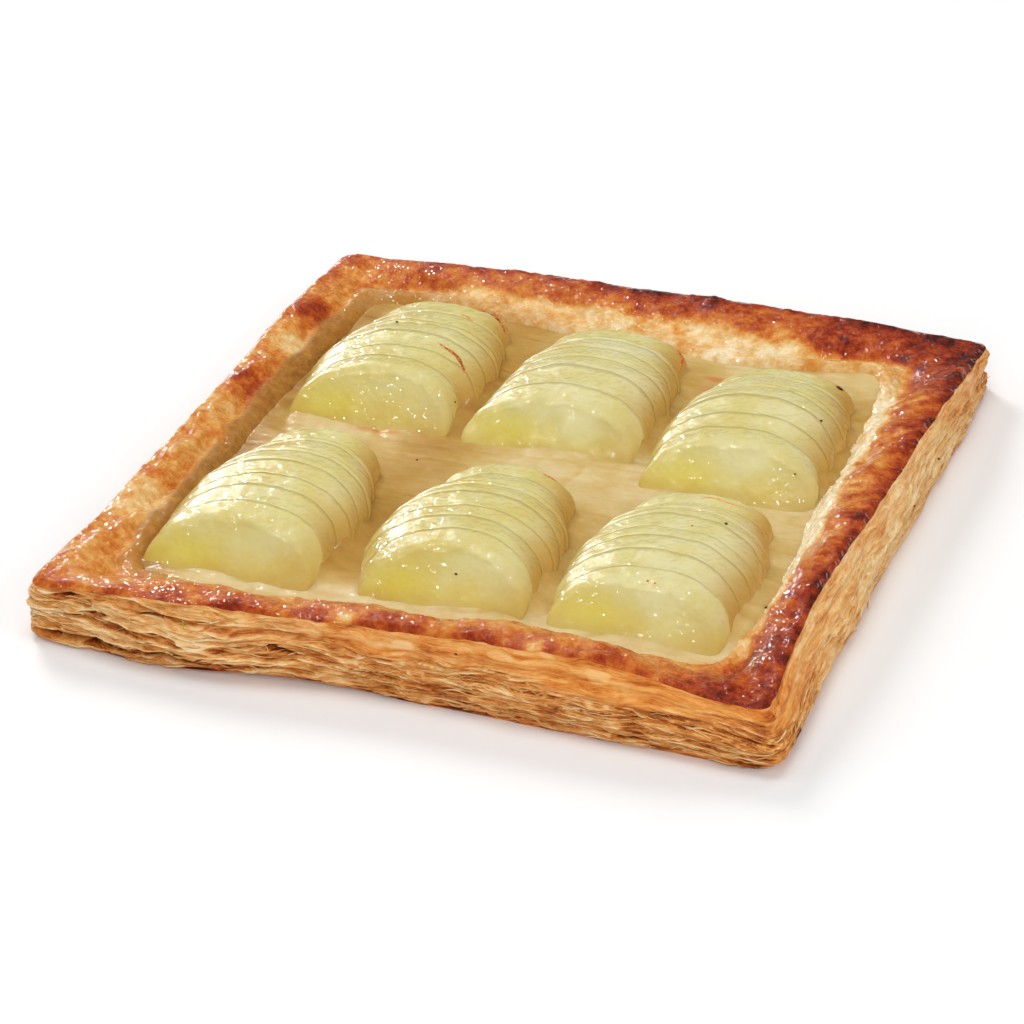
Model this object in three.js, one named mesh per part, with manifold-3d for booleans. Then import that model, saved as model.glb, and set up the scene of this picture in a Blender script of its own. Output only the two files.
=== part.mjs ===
// A square puff-pastry pear tart: one pastry case, a layer of pastry cream, and six pear halves, each cut
// across into slices that have been pushed over so that they lean back on each other in a fan.
// Millimetres, +Z up. The origin is the middle of the underside, -Y is the front and +X the right.

import * as THREE from 'three';
import Module from 'manifold-3d';
import { mergeVertices } from 'three/addons/utils/BufferGeometryUtils.js';

// The pastry case
const TOP_SIDE = 222; // side of the square where the browned top meets the flaky side
const TOP_CORNER_RADIUS = 4;
const BASE_CORNER_RADIUS = 7;
const RECESS_CORNER_RADIUS = 9;
const RECESS_FLOOR = 5; // thickness of the base under the cream
const LEAF_DEPTH = 1.3; // how far one bundle of leaves stands out past the next
const UNEVENNESS = 0.5; // how far the edge wanders in and out

// The case has puffed unevenly. These are its sizes at 16 stations round the edge, four a side: at the
// corner, then a quarter, a half and three quarters of the way along. The sides in turn: front from the
// left, right, back, left.
const EDGE = {
  // of the rim above the table
  height: [18.2, 21.3, 22.5, 23.8, 17.2, 23.2, 22, 20.8, 16, 19.2, 19.8, 20.2, 17.8, 20.1, 19.9, 19.2],
  // how far the top edge lies inside the square
  drawnIn: [0, -0.6, 1.4, 1.2, 0, 2.3, 0.3, -0.4, 0, 0.8, 1.4, 0.5, 0, 0.6, 2.3, 2.1],
  // from the outer top edge to the cream
  rimWidth: [19, 18, 17.5, 18, 19, 16.5, 20, 20.5, 23, 29, 25, 20, 18, 14.5, 15.5, 16.5],
  // how far the wall's belly stands out past the top edge
  flare: [1, 6.4, 2.6, 4.4, 5.6, 6, 2.8, 1.8, 0, 6.2, 6.8, 6, 1.5, 5.2, 6, 5.2],
};
// Where the base has lifted off the table: the middle and the reach of each place, in sides, and how high.
const LIFTS = [
  { step: 0, reach: 0.1, height: 0.8 },
  { step: 0.35, reach: 0.2, height: 2.6 },
  { step: 2, reach: 0.12, height: 1.5 },
  { step: 3, reach: 0.15, height: 2 },
];

// The cream
const CREAM_LEVEL = 13.5;
const CREAM_SWELL = 0.5; // how high the cream's soft waves stand
const CLEARANCE = 0.35; // the gap kept between pieces that touch

// The pears. A fan's slices lean back, each on the one behind it.
const SLICE_SINK = 2.2; // depth of the slices' feet in the cream
const SLICE_GAP = 0.55; // between two slices, measured along the fan
const SLICE_LEAN = 1.35; // how far back a slice leans for each mm it rises
const END_REACH = 3; // how far the pear's rounded end reaches past the top of the last slice
// place: middle of the fan's foot at its front, and how far the front slice has slid to the right.
// pitch: mean distance from one slice to the next. widths and heights: of the front slice, the largest and
// the last, with the heights above the cream.
const FAN = {
  front_left: {
    place: { x: -60.2, y: -85, slid: -1.2 },
    slices: 9,
    pitch: 6.6,
    widths: [54, 59, 42],
    heights: [12.1, 14.3, 10],
  },
  front_middle: {
    place: { x: 2.1, y: -84, slid: 2.9 },
    slices: 8,
    pitch: 6.9,
    widths: [51, 58.5, 44],
    heights: [12.5, 13, 9.5],
  },
  front_right: {
    place: { x: 61.8, y: -83, slid: 0.6 },
    slices: 9,
    pitch: 6.6,
    widths: [52, 57.5, 45],
    heights: [11.3, 12.8, 8],
  },
  back_left: {
    place: { x: -57.3, y: 9, slid: -1.2 },
    slices: 8,
    pitch: 7.2,
    widths: [53, 60, 47],
    heights: [12.2, 13, 8.5],
  },
  back_middle: {
    place: { x: 2.8, y: 8.5, slid: -1.5 },
    slices: 7,
    pitch: 8.1,
    widths: [56, 57, 47],
    heights: [11.6, 13.1, 8.5],
  },
  back_right: {
    place: { x: 61, y: -2.5, slid: 0.8 },
    slices: 8,
    pitch: 7.1,
    widths: [54, 56, 46],
    heights: [11.1, 13.5, 8],
  },
};

// Fineness of the meshes
const SIDE_STEPS = 40; // columns along each side of the pastry
const CREAM_STEPS = 22;
const CREAM_RINGS = 8;
const ARC_STEPS = 11; // steps round the curved edge of a slice

const wasm = await Module();
wasm.setup();

const clamp = (v, low, high) => Math.min(high, Math.max(low, v));
const smooth = (t) => clamp(t, 0, 1) ** 2 * (3 - 2 * clamp(t, 0, 1));
const mix = (a, b, t) => a + (b - a) * t;

// An uneven wave between about -1 and 1 that closes on itself after one turn.
function ripple(turn, count, seed) {
  return (
    (Math.sin(count * turn + seed) +
      0.6 * Math.sin((2 * count + 1) * turn + 2.1 * seed) +
      0.4 * Math.sin((4 * count + 3) * turn + 3.7 * seed)) /
    2
  );
}

// A size that changes smoothly from one station round the edge to the next.
function alongEdge(stations, step) {
  const at = (step / 4) * stations.length;
  const before = Math.floor(at);
  const station = (number) => stations[number % stations.length];
  return mix(station(before), station(before + 1), smooth(at - before));
}

// A place on the edge of the tart. step runs from 0 to 4, one for each side, from the front left corner.
function placeOnEdge(step) {
  const side = Math.floor(step) % 4;
  const along = step - Math.floor(step);
  const turn = (step * Math.PI) / 2;
  let lift = 0;
  for (const place of LIFTS) {
    const distance = Math.min(Math.abs(step - place.step), 4 - Math.abs(step - place.step));
    lift += place.height * smooth(1 - distance / place.reach);
  }
  return {
    side,
    along,
    turn,
    lift,
    height: alongEdge(EDGE.height, step) + 0.4 * ripple(turn, 5, 1.3),
    drawnIn: alongEdge(EDGE.drawnIn, step) + UNEVENNESS * ripple(turn, 7, 2.6),
    rimWidth: alongEdge(EDGE.rimWidth, step),
    flare: alongEdge(EDGE.flare, step),
  };
}

// The point at that place on a square with rounded corners.
function pointOnSquare(place, half, radius) {
  const core = half - radius;
  const x = (2 * place.along - 1) * half;
  const fromCore = new THREE.Vector2(x - clamp(x, -core, core), -radius).normalize();
  const point = new THREE.Vector2(clamp(x, -core, core), -core).addScaledVector(fromCore, radius);
  return point.rotateAround(new THREE.Vector2(), (place.side * Math.PI) / 2);
}

// A closed solid through rings of equal count, with a fan of triangles at each end.
function loft(rings, startCentre, endCentre) {
  const count = rings[0].length;
  const points = [startCentre, ...rings.flat(), endCentre];
  const last = points.length - 1;
  const at = (ring, i) => 1 + ring * count + (i % count);
  const index = [];
  for (let i = 0; i < count; i++) {
    index.push(0, at(0, i + 1), at(0, i));
    for (let ring = 0; ring < rings.length - 1; ring++) {
      index.push(at(ring, i), at(ring, i + 1), at(ring + 1, i + 1));
      index.push(at(ring, i), at(ring + 1, i + 1), at(ring + 1, i));
    }
    index.push(at(rings.length - 1, i), at(rings.length - 1, i + 1), last);
  }
  const geometry = new THREE.BufferGeometry().setFromPoints(points);
  geometry.setIndex(index);
  return geometry;
}

// ---- Pastry ----

// How far the wall stands out past the top edge, at a share of its height: tucked in under the base, and
// widest low down.
function wallBelly(place, share) {
  if (share < 0.35) return place.flare * mix(0.55, 1, smooth(share / 0.35));
  return place.flare * (1 - smooth((share - 0.35) / 0.65));
}

// Every second row is a bundle of leaves that stands out, by an amount that changes along the wall.
function leafRelief(place, row) {
  const bundle = 0.55 + 0.45 * ripple(place.turn, 9 + row, row);
  return LEAF_DEPTH * (row % 2 ? bundle : 0.12 * ripple(place.turn, 23, row));
}

const WALL_SHARES = [0, 0.09, 0.18, 0.28, 0.37, 0.47, 0.56, 0.66, 0.75, 0.85, 0.92];
const EDGE_DROP = 0.9; // how much lower the outer top edge is than the rim
// The browned top: the share of the rim's width, and the height against the rim's.
const RIM_PROFILE = [
  [0, -EDGE_DROP],
  [0.06, -0.1],
  [0.24, 0.3],
  [0.45, 0],
  [0.64, -1.4],
  [0.82, -3.4],
];

function pastryRing(insetAt, heightAt, radius) {
  const ring = [];
  for (let i = 0; i < 4 * SIDE_STEPS; i++) {
    const place = placeOnEdge(i / SIDE_STEPS);
    const point = pointOnSquare(place, TOP_SIDE / 2 - insetAt(place), radius);
    ring.push(new THREE.Vector3(point.x, point.y, heightAt(place)));
  }
  return ring;
}

function wallRing(share, row) {
  return pastryRing(
    (place) => place.drawnIn - wallBelly(place, share) - leafRelief(place, row),
    (place) => mix(place.lift, place.height - EDGE_DROP, share),
    mix(BASE_CORNER_RADIUS, TOP_CORNER_RADIUS, share),
  );
}

function rimRing([share, drop], row) {
  return pastryRing(
    (place) => mix(place.drawnIn, place.rimWidth, share),
    (place) => place.height + drop + 0.25 * row * ripple(place.turn, 15, row),
    mix(TOP_CORNER_RADIUS, RECESS_CORNER_RADIUS, share),
  );
}

function pastryGeometry() {
  const underside = pastryRing(() => 45, () => 0, TOP_CORNER_RADIUS);
  const recess = [CREAM_LEVEL + 0.9, RECESS_FLOOR].map((height) =>
    pastryRing((place) => place.rimWidth, () => height, RECESS_CORNER_RADIUS),
  );
  const rings = [underside, ...WALL_SHARES.map(wallRing), ...RIM_PROFILE.map(rimRing), ...recess];
  return loft(rings, new THREE.Vector3(), new THREE.Vector3(0, 0, RECESS_FLOOR));
}

// ---- Pears ----

// A slice's place in its fan, 0 for the front one and 1 for the last.
const shareOf = (fan, number) => clamp(number / (fan.slices - 1), 0, 1);

// From the front size over the largest to the last.
function alongFan([front, largest, last], share) {
  if (share < 0.42) return mix(front, largest, smooth(share / 0.42));
  return mix(largest, last, ((share - 0.42) / 0.58) ** 2);
}

// The size and the place of one slice in its fan, as uneven as slices cut and pushed over by hand.
function sliceOf(fan, number) {
  const share = shareOf(fan, number);
  const seed = fan.place.x + fan.place.y;
  const thickness = (each) => fan.pitch * (1 + 0.2 * Math.sin(2.4 * each + seed));
  let start = 0;
  for (let each = 0; each < number; each++) start += thickness(each);
  return {
    start,
    depth: thickness(number) - SLICE_GAP,
    x: fan.place.slid * (1 - smooth(share / 0.35)) + 0.3 * Math.sin(number * 3.1 + seed),
    width: alongFan(fan.widths, share) * (1 + 0.01 * Math.sin(number * 2.7 + seed)),
    height: alongFan(fan.heights, share) * (1 + 0.03 * Math.sin(number * 1.9 + seed)),
  };
}

// The outline of a slice in its own plane, from its left foot over the top to its right foot.
function sliceOutline(width, height, y, lean) {
  const outline = [];
  const point = (x, z) => outline.push(new THREE.Vector3(x, y + lean * z, z));
  point(-0.46 * width, -SLICE_SINK);
  for (let i = 0; i <= ARC_STEPS; i++) {
    const angle = (Math.PI * i) / ARC_STEPS;
    point((-width / 2) * Math.cos(angle), height * Math.sin(angle) ** 0.85);
  }
  point(0.46 * width, -SLICE_SINK);
  return outline;
}

// The last slice is the pear's rounded end. Behind its front edge it straightens up while it tapers, and so
// comes down to the cream.
const endReach = ({ height }) => SLICE_LEAN * height + END_REACH;

function endSections({ depth, height }) {
  return [0.3, 0.6, 0.85, 1].map((share) => ({
    y: depth + share * endReach({ height }),
    scale: Math.sqrt(1 - (0.94 * share) ** 2),
    lean: SLICE_LEAN * (1 - share),
  }));
}

// One leaning slice, its front edge eased and its outer surface a little lower at the back.
function sliceGeometry(slice, isLast) {
  const sections = [
    { y: 0, scale: 0.985, lean: SLICE_LEAN },
    { y: 0.7, scale: 1, lean: SLICE_LEAN },
    { y: slice.depth, scale: isLast ? 1 : 0.95, lean: SLICE_LEAN },
  ];
  if (isLast) sections.push(...endSections(slice));
  const outlines = sections.map(({ y, scale, lean }) =>
    sliceOutline(slice.width * scale, slice.height * scale, y, lean),
  );
  const centre = (y) => new THREE.Vector3(0, y, 0);
  return loft(outlines, centre(0), centre(sections.at(-1).y));
}

// The hollow that a fan has pressed into the cream, a little larger than the slices' feet. It leans with
// them, except at the pear's end.
function pocketGeometry(slices) {
  const last = slices.at(-1);
  const end = last.start + last.depth + endReach(last) + CLEARANCE;
  const level = (z) => {
    const left = [];
    const right = [];
    for (let number = 0; number <= slices.length; number++) {
      const neighbours = slices.slice(Math.max(number - 1, 0), number + 1);
      const leaning = number < slices.length ? slices[number].start + SLICE_LEAN * z : end;
      const y = leaning - (number === 0 ? CLEARANCE : 0);
      const lowest = Math.min(...neighbours.map((slice) => slice.x - slice.width / 2));
      const highest = Math.max(...neighbours.map((slice) => slice.x + slice.width / 2));
      left.unshift(new THREE.Vector3(lowest - CLEARANCE, y, z));
      right.push(new THREE.Vector3(highest + CLEARANCE, y, z));
    }
    return [...left, ...right];
  };
  const low = -SLICE_SINK - CLEARANCE;
  const high = CREAM_SWELL + 3;
  const middle = (z) => new THREE.Vector3(0, end / 2 + SLICE_LEAN * z, z);
  return loft([level(low), level(high)], middle(low), middle(high));
}

// ---- Cream ----

function creamHeight(x, y) {
  const wave = Math.sin(x / 17 + 0.8) * Math.cos(y / 13) + 0.5 * Math.sin(x / 7 + y / 11);
  return CREAM_LEVEL + CREAM_SWELL * wave;
}

function creamRing(share, heightAt) {
  const ring = [];
  for (let i = 0; i < 4 * CREAM_STEPS; i++) {
    const place = placeOnEdge(i / CREAM_STEPS);
    const half = (TOP_SIDE / 2 - place.rimWidth - CLEARANCE) * share;
    const point = pointOnSquare(place, half, RECESS_CORNER_RADIUS * share);
    ring.push(new THREE.Vector3(point.x, point.y, heightAt(point.x, point.y)));
  }
  return ring;
}

function creamGeometry() {
  const foot = RECESS_FLOOR + CLEARANCE;
  const rings = [creamRing(1, () => foot)];
  for (let ring = CREAM_RINGS; ring > 0; ring--) rings.push(creamRing(ring / CREAM_RINGS, creamHeight));
  return loft(rings, new THREE.Vector3(0, 0, foot), new THREE.Vector3(0, 0, creamHeight(0, 0)));
}

// ---- Booleans ----

function solidOf(geometry) {
  const merged = mergeVertices(geometry.clone().deleteAttribute('normal').deleteAttribute('uv'), 1e-4);
  return new wasm.Manifold(
    new wasm.Mesh({
      numProp: 3,
      vertProperties: merged.attributes.position.array,
      triVerts: new Uint32Array(merged.index.array),
    }),
  );
}

function geometryOf(solid) {
  const mesh = solid.getMesh();
  const geometry = new THREE.BufferGeometry();
  geometry.setAttribute('position', new THREE.BufferAttribute(mesh.vertProperties, 3));
  geometry.setIndex(new THREE.BufferAttribute(mesh.triVerts, 1));
  return geometry;
}

// ---- The tart ----

const crust = new THREE.MeshStandardMaterial({ color: 0xc98a4a, roughness: 0.6 });
const cream = new THREE.MeshStandardMaterial({ color: 0xd9c08a, roughness: 0.35 });
const pear = new THREE.MeshStandardMaterial({ color: 0xd8cf86, roughness: 0.25 });

function addMesh(parent, name, geometry, material) {
  geometry.computeVertexNormals();
  const mesh = new THREE.Mesh(geometry, material);
  mesh.name = name;
  parent.add(mesh);
  return mesh;
}

const tart = new THREE.Group();
addMesh(tart, 'pastry_case', pastryGeometry(), crust);

let creamSolid = solidOf(creamGeometry());
for (const [name, fan] of Object.entries(FAN)) {
  const half = new THREE.Group();
  half.position.set(fan.place.x, fan.place.y, CREAM_LEVEL);
  const slices = Array.from({ length: fan.slices }, (_, number) => sliceOf(fan, number));
  slices.forEach((slice, number) => {
    const geometry = sliceGeometry(slice, number === fan.slices - 1);
    const mesh = addMesh(half, `pear_${name}_slice_${number + 1}`, geometry, pear);
    mesh.position.set(slice.x, slice.start, 0);
  });
  half.updateMatrix();
  creamSolid = creamSolid.subtract(solidOf(pocketGeometry(slices).applyMatrix4(half.matrix)));
  tart.add(half);
}
addMesh(tart, 'pastry_cream', geometryOf(creamSolid), cream);

export default tart;
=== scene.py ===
"""The looks of a square puff-pastry pear tart: a flaky case with a glossy browned rim, baked cream, and six
pear halves cut into slices and fanned out. Sizes are in millimetres until a mesh is made, which is in metres.
The origin is under the middle of the tart, -Y is the front and +X the right.
"""

import itertools

import bpy
import numpy as np
from mathutils import Matrix, Vector
from mathutils.bvhtree import BVHTree


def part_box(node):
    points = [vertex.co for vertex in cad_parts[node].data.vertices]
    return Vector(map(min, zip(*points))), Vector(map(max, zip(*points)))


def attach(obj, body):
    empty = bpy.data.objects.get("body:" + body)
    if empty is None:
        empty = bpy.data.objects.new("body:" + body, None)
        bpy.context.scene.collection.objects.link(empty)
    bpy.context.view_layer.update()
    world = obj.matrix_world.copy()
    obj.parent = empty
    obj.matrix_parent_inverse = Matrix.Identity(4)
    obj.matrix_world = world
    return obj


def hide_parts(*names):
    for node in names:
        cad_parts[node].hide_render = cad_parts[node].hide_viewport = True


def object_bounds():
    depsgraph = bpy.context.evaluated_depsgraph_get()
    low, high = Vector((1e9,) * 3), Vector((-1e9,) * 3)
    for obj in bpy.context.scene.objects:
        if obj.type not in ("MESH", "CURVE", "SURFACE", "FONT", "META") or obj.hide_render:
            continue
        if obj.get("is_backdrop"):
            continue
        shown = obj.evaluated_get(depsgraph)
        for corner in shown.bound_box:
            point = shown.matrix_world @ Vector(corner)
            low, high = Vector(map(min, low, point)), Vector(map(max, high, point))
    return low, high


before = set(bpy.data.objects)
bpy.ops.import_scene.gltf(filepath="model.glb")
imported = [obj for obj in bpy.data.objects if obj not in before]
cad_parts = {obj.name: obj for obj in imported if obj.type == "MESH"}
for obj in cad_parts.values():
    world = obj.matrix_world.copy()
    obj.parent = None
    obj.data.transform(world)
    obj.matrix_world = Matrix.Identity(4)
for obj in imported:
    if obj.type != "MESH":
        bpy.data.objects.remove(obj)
CAD_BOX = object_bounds()
CASE_LOW, CASE_HIGH = (np.array(corner) * 1000 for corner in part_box("pastry_case"))

# ---- Sizes that the look shares with the solids ----

TOP_SIDE = 222  # side of the square where the browned top meets the flaky side
TOP_CORNER_RADIUS = 4
BASE_CORNER_RADIUS = 7
RECESS_CORNER_RADIUS = 9
LEAF_DEPTH = 1.3
UNEVENNESS = 0.5
EDGE_DROP = 0.9
CREAM_LEVEL = 13.5
CREAM_SWELL = 0.5
SLICE_SINK = 2.2
SLICE_LEAN = 1.35
END_REACH = 3
SLICE_GAP = 0.05
BASE_INSET = 45  # how far in from the edge the base's flat middle begins
UNDER_RIM = 1.4  # how far the cream runs on under the rim
LONGEST_GAP = 1.5  # between neighbouring points of a scorched edge
SCORCH_THICKNESS = 0.14
# Painted shade in the joints between slices.
JOINT_SHADE = 0.12  # how much deeper a slice's colour is where the next one covers it

# The edge's sizes at 16 stations, four a side: corner, 1/4, 1/2, 3/4. The sides in turn: front from the left,
# right, back, left.
HEIGHT = [18.2, 21.3, 22.5, 23.8, 17.2, 23.2, 22, 20.8, 16, 19.2, 19.8, 20.2, 17.8, 20.1, 19.9, 19.2]
DRAWN_IN = [0, -0.6, 1.4, 1.2, 0, 2.3, 0.3, -0.4, 0, 0.8, 1.4, 0.5, 0, 0.6, 2.3, 2.1]
RIM_WIDTH = [19, 18, 17.5, 18, 19, 16.5, 20, 20.5, 23, 29, 25, 20, 18, 14.5, 15.5, 16.5]
FLARE = [1, 6.4, 2.6, 4.4, 5.6, 6, 2.8, 1.8, 0, 6.2, 6.8, 6, 1.5, 5.2, 6, 5.2]
LIFTS = [(0, 0.1, 0.8), (0.35, 0.2, 2.6), (2, 0.12, 1.5), (3, 0.15, 2)]  # middle, reach, height
WALL_SHARES = [0, 0.09, 0.18, 0.28, 0.37, 0.47, 0.56, 0.66, 0.75, 0.85, 0.92]
RIM_PROFILE = [(0, -EDGE_DROP), (0.06, -0.1), (0.24, 0.3), (0.45, 0), (0.64, -1.4), (0.82, -3.4)]

# ---- The baking, at the same 16 stations: 0 is pale dough, 1 nearly black ----

BAKED_OUTER = [0.58, 0.64, 0.64, 0.62, 0.88, 0.82, 0.8, 0.8, 0.94, 0.8, 0.8, 0.76, 0.64, 0.46, 0.42, 0.46]
BAKED_MIDDLE = [0.5, 0.56, 0.54, 0.5, 0.76, 0.58, 0.56, 0.56, 0.8, 0.62, 0.58, 0.54, 0.54, 0.5, 0.46, 0.42]
BAKED_INNER = [0.42, 0.44, 0.42, 0.4, 0.5, 0.04, 0.02, 0.06, 0.3, 0.22, 0.2, 0.22, 0.36, 0.38, 0.4, 0.36]
# How far across the rim, from outside, the middle and the inner tones are reached.
MIDDLE_AT = [0.4, 0.4, 0.4, 0.4, 0.55, 0.38, 0.34, 0.38, 0.6, 0.4, 0.35, 0.35, 0.4, 0.4, 0.4, 0.4]
FOAMY = [0, 0, 0, 0, 0.4, 1, 1, 1, 0.5, 0.4, 0.3, 0.3, 0, 0, 0, 0]
INNER_AT = [0.95, 0.98, 0.98, 0.96, 0.9, 0.8, 0.8, 0.8, 0.85, 0.74, 0.72, 0.76, 0.9, 0.95, 0.95, 0.95]
# How much painted shade darkens the rim's inner slope to a golden brown, most on the left, where it faces
# away from the key light.
SHADED_SLOPE = [0.7, 0.2, 0.1, 0.1, 0, 0, 0, 0, 0.1, 0.1, 0.1, 0.3, 0.7, 1, 0.9, 0.9]
# How many mm the rim runs on over the cream, until it dips into it.
OVER_CREAM = [4, 1.5, 1.5, 1.5, 2, 2, 2, 2, 4, 6, 6, 6, 7, 8, 8, 7]
# How much the rim is wrinkled across.
RIDGED = [0, 0.1, 0.1, 0.1, 0.3, 1, 1, 1, 0.3, 0.6, 0.5, 0.4, 0.1, 0.1, 0.1, 0.1]
# How coarse and wavy the leaves of the side are, how finely layered, and how smooth its upper part is.
LEAFY = [0.9, 1, 0.45, 0.3, 0.45, 0.2, 0.25, 0.25, 0.3, 0.55, 0.6, 0.6, 0.6, 0.6, 0.6, 0.8]
FINE = [0.6, 0.7, 1, 1, 0.9, 0.35, 0.35, 0.35, 0.4, 0.7, 0.7, 0.7, 0.7, 0.7, 0.7, 0.6]
SMEARED = [0.1, 0.3, 0.9, 1, 0.9, 0.5, 0.5, 0.5, 0.6, 0.4, 0.4, 0.3, 0.3, 0.3, 0.3, 0.2]
TONED = [0.52, 0.52, 0.46, 0.4, 0.33, 0.66, 0.68, 0.66, 0.5, 0.46, 0.46, 0.46, 0.46, 0.46, 0.48, 0.5]
WARM = [0.2, 0.2, 0.3, 0.4, 0.45, 0.1, 0.05, 0.1, 0.3, 0.4, 0.4, 0.4, 0.3, 0.2, 0.2, 0.1]

WALL_COLUMNS = 620  # on half of the tart's edge
WALL_ROWS = 150
RIM_COLUMNS = 1000
RIM_ROWS = 80
RIM_END = 1.4  # the share at which the rim ends, under the cream; 1 is where it meets the cream
CREAM_CELLS = 190
ARC_STEPS = 90
FLAKES = 900
FLAKE_ROWS, FLAKE_SIDES = 18, 4
SPECK_ROWS, SPECK_SIDES = 7, 9


# ---- Small tools ----


def smooth(t):
    t = np.clip(t, 0, 1)
    return t * t * (3 - 2 * t)


def mix(a, b, t):
    return a + (b - a) * t


def hashed(cell, seed):
    """A number from 0 to 1 that belongs to each cell of a grid; cell holds three whole numbers a row."""
    h = cell.astype(np.int64) @ np.array([73856093, 19349663, 83492791]) + seed * 26544357
    h = (h & 0xFFFFFFFF) * 1664525 + 1013904223
    h = ((h ^ (h >> 15)) & 0xFFFFFFF) * 2246822519
    return ((h ^ (h >> 13)) & 0xFFFFF) / 0xFFFFF


def noise(points, size, seed):
    """Smooth noise from -1 to 1 with lumps about size mm across; size is one number or three."""
    p = np.asarray(points, float) / np.asarray(size, float)
    base = np.floor(p)
    f = p - base
    f = f * f * f * (f * (f * 6 - 15) + 10)
    total = 0
    for corner in itertools.product((0, 1), repeat=3):
        weight = np.prod(np.where(corner, f, 1 - f), axis=-1)
        total = total + weight * hashed(base + np.array(corner), seed)
    return 2 * total - 1


def cloud(points, size, seed):
    """Noise with two finer noises on it, about -1 to 1."""
    size = np.asarray(size, float)
    layers = [noise(points, size / 2**k, seed + k) / 2**k for k in range(3)]
    return sum(layers) / 1.75 * 1.3


def blisters(points, size, seed):
    """Round bumps, 0 between them and up to 1 in the middle of each, at most size mm apart."""
    p = np.asarray(points, float) / size
    base = np.floor(p)
    height = np.zeros(p.shape[:-1])
    for corner in itertools.product((-1, 0, 1), repeat=3):
        cell = base + np.array(corner)
        middle = cell + np.stack([hashed(cell, seed + k) for k in range(3)], -1)
        radius = 0.35 + 0.5 * hashed(cell, seed + 3)
        away = np.linalg.norm(p - middle, axis=-1) / radius
        height = np.maximum(height, (1 - np.clip(away, 0, 1) ** 2) * radius)
    return height


def stack(*columns):
    return np.stack(np.broadcast_arrays(*columns), -1)


def unit(vectors):
    return vectors / np.linalg.norm(vectors, axis=-1, keepdims=True)


def grid_faces(rows, columns, closed):
    """Quads between neighbouring rows of points; closed joins the last column to the first."""
    i, j = np.meshgrid(np.arange(rows - 1), np.arange(columns if closed else columns - 1), indexing="ij")
    k = (j + 1) % columns
    quads = stack(i * columns + j, i * columns + k, (i + 1) * columns + k, (i + 1) * columns + j)
    return quads.reshape(-1, 4).tolist()


def fan_faces(first, count, centre, flip=False):
    """Triangles from a closed row of points to one point."""
    around = [(first + i, first + (i + 1) % count) for i in range(count)]
    return [(b, a, centre) if flip else (a, b, centre) for a, b in around]


def add_object(name, data):
    thing = bpy.data.objects.new(name, data)
    bpy.context.scene.collection.objects.link(thing)
    return thing


def make_piece(name, points, faces, material, slot, replaced, **attributes):
    """A piece of the tart from points in millimetres, which rides on its body and stands for its node."""
    mesh = bpy.data.meshes.new(name)
    mesh.from_pydata((np.reshape(points, (-1, 3)) * 0.001).tolist(), [], faces)
    for key, values in attributes.items():
        data = mesh.attributes.new(key, "FLOAT", "POINT").data
        data.foreach_set("value", np.ravel(values).astype(np.float32))
    mesh.polygons.foreach_set("use_smooth", [True] * len(mesh.polygons))
    mesh.materials.append(material)
    mesh.update()
    piece = add_object(name, mesh)
    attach(piece, "root")
    if replaced:
        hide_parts(*replaced)
    return piece


# ---- The camera, which stands as the photographer's did ----

AZIMUTH, ELEVATION, ROLL = np.radians([23.563, 30.094, -3.569])
CAMERA_DISTANCE = 1067.6
CAMERA_AIM = np.array([0, 0, 9])
CAMERA_SHIFT = (-5.85, -9.94)  # along the picture's own right and up
FOCAL_PIXELS = 3548
PICTURE = 1024

camera_back = np.array(
    [np.sin(AZIMUTH) * np.cos(ELEVATION), -np.cos(AZIMUTH) * np.cos(ELEVATION), np.sin(ELEVATION)]
)
level_right = np.array([np.cos(AZIMUTH), np.sin(AZIMUTH), 0])
level_up = np.cross(camera_back, level_right)
camera_right = np.cos(ROLL) * level_right + np.sin(ROLL) * level_up
camera_up = -np.sin(ROLL) * level_right + np.cos(ROLL) * level_up
camera_place = (
    CAMERA_AIM
    + camera_back * CAMERA_DISTANCE
    + camera_right * CAMERA_SHIFT[0]
    + camera_up * CAMERA_SHIFT[1]
)


def add_camera():
    data = bpy.data.cameras.new("camera")
    data.sensor_width = 36
    data.lens = FOCAL_PIXELS / PICTURE * data.sensor_width
    data.clip_end = 20
    matrix = np.eye(4)
    matrix[:3, :3] = np.column_stack([camera_right, camera_up, camera_back])
    matrix[:3, 3] = camera_place * 0.001
    camera = add_object("camera", data)
    camera.matrix_world = Matrix(matrix.tolist())
    bpy.context.scene.camera = camera


def pixel_ray(pixel):
    """The way from the camera to what a pixel of the picture shows."""
    x, y = (pixel[0] - PICTURE / 2) / FOCAL_PIXELS, (PICTURE / 2 - pixel[1]) / FOCAL_PIXELS
    ray = camera_right * x + camera_up * y - camera_back
    return ray / np.linalg.norm(ray)


def seen_at(points, pixel):
    """The point of an array of points that a pixel of the picture shows: near its ray, and in front."""
    ray = pixel_ray(pixel)
    out = points - camera_place
    depth = out @ ray
    aside = np.linalg.norm(out - depth[:, None] * ray, axis=1)
    near = aside < aside.min() + 0.7
    return points[near][np.argmin(depth[near])]


def near_line(points, line):
    """The distance from each point to a line through a few points."""
    nearest = np.full(len(points), np.inf)
    for a, b in zip(line[:-1], line[1:]):
        t = np.clip((points - a) @ (b - a) / max((b - a) @ (b - a), 1e-9), 0, 1)
        nearest = np.minimum(nearest, np.linalg.norm(points - (a + t[:, None] * (b - a)), axis=1))
    return nearest


# ---- Materials ----


def linear(red, green, blue):
    """A colour as seen on a screen, 0 to 255, in linear light."""
    c = np.array([red, green, blue]) / 255
    return (*np.where(c <= 0.04045, c / 12.92, ((c + 0.055) / 1.055) ** 2.4), 1)


def connect(tree, node, inputs):
    """Sets inputs to numbers or colours, or links them to other nodes' outputs."""
    for key, value in inputs.items():
        if isinstance(value, bpy.types.NodeSocket):
            tree.links.new(value, node.inputs[key])
        else:
            node.inputs[key].default_value = value


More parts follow.
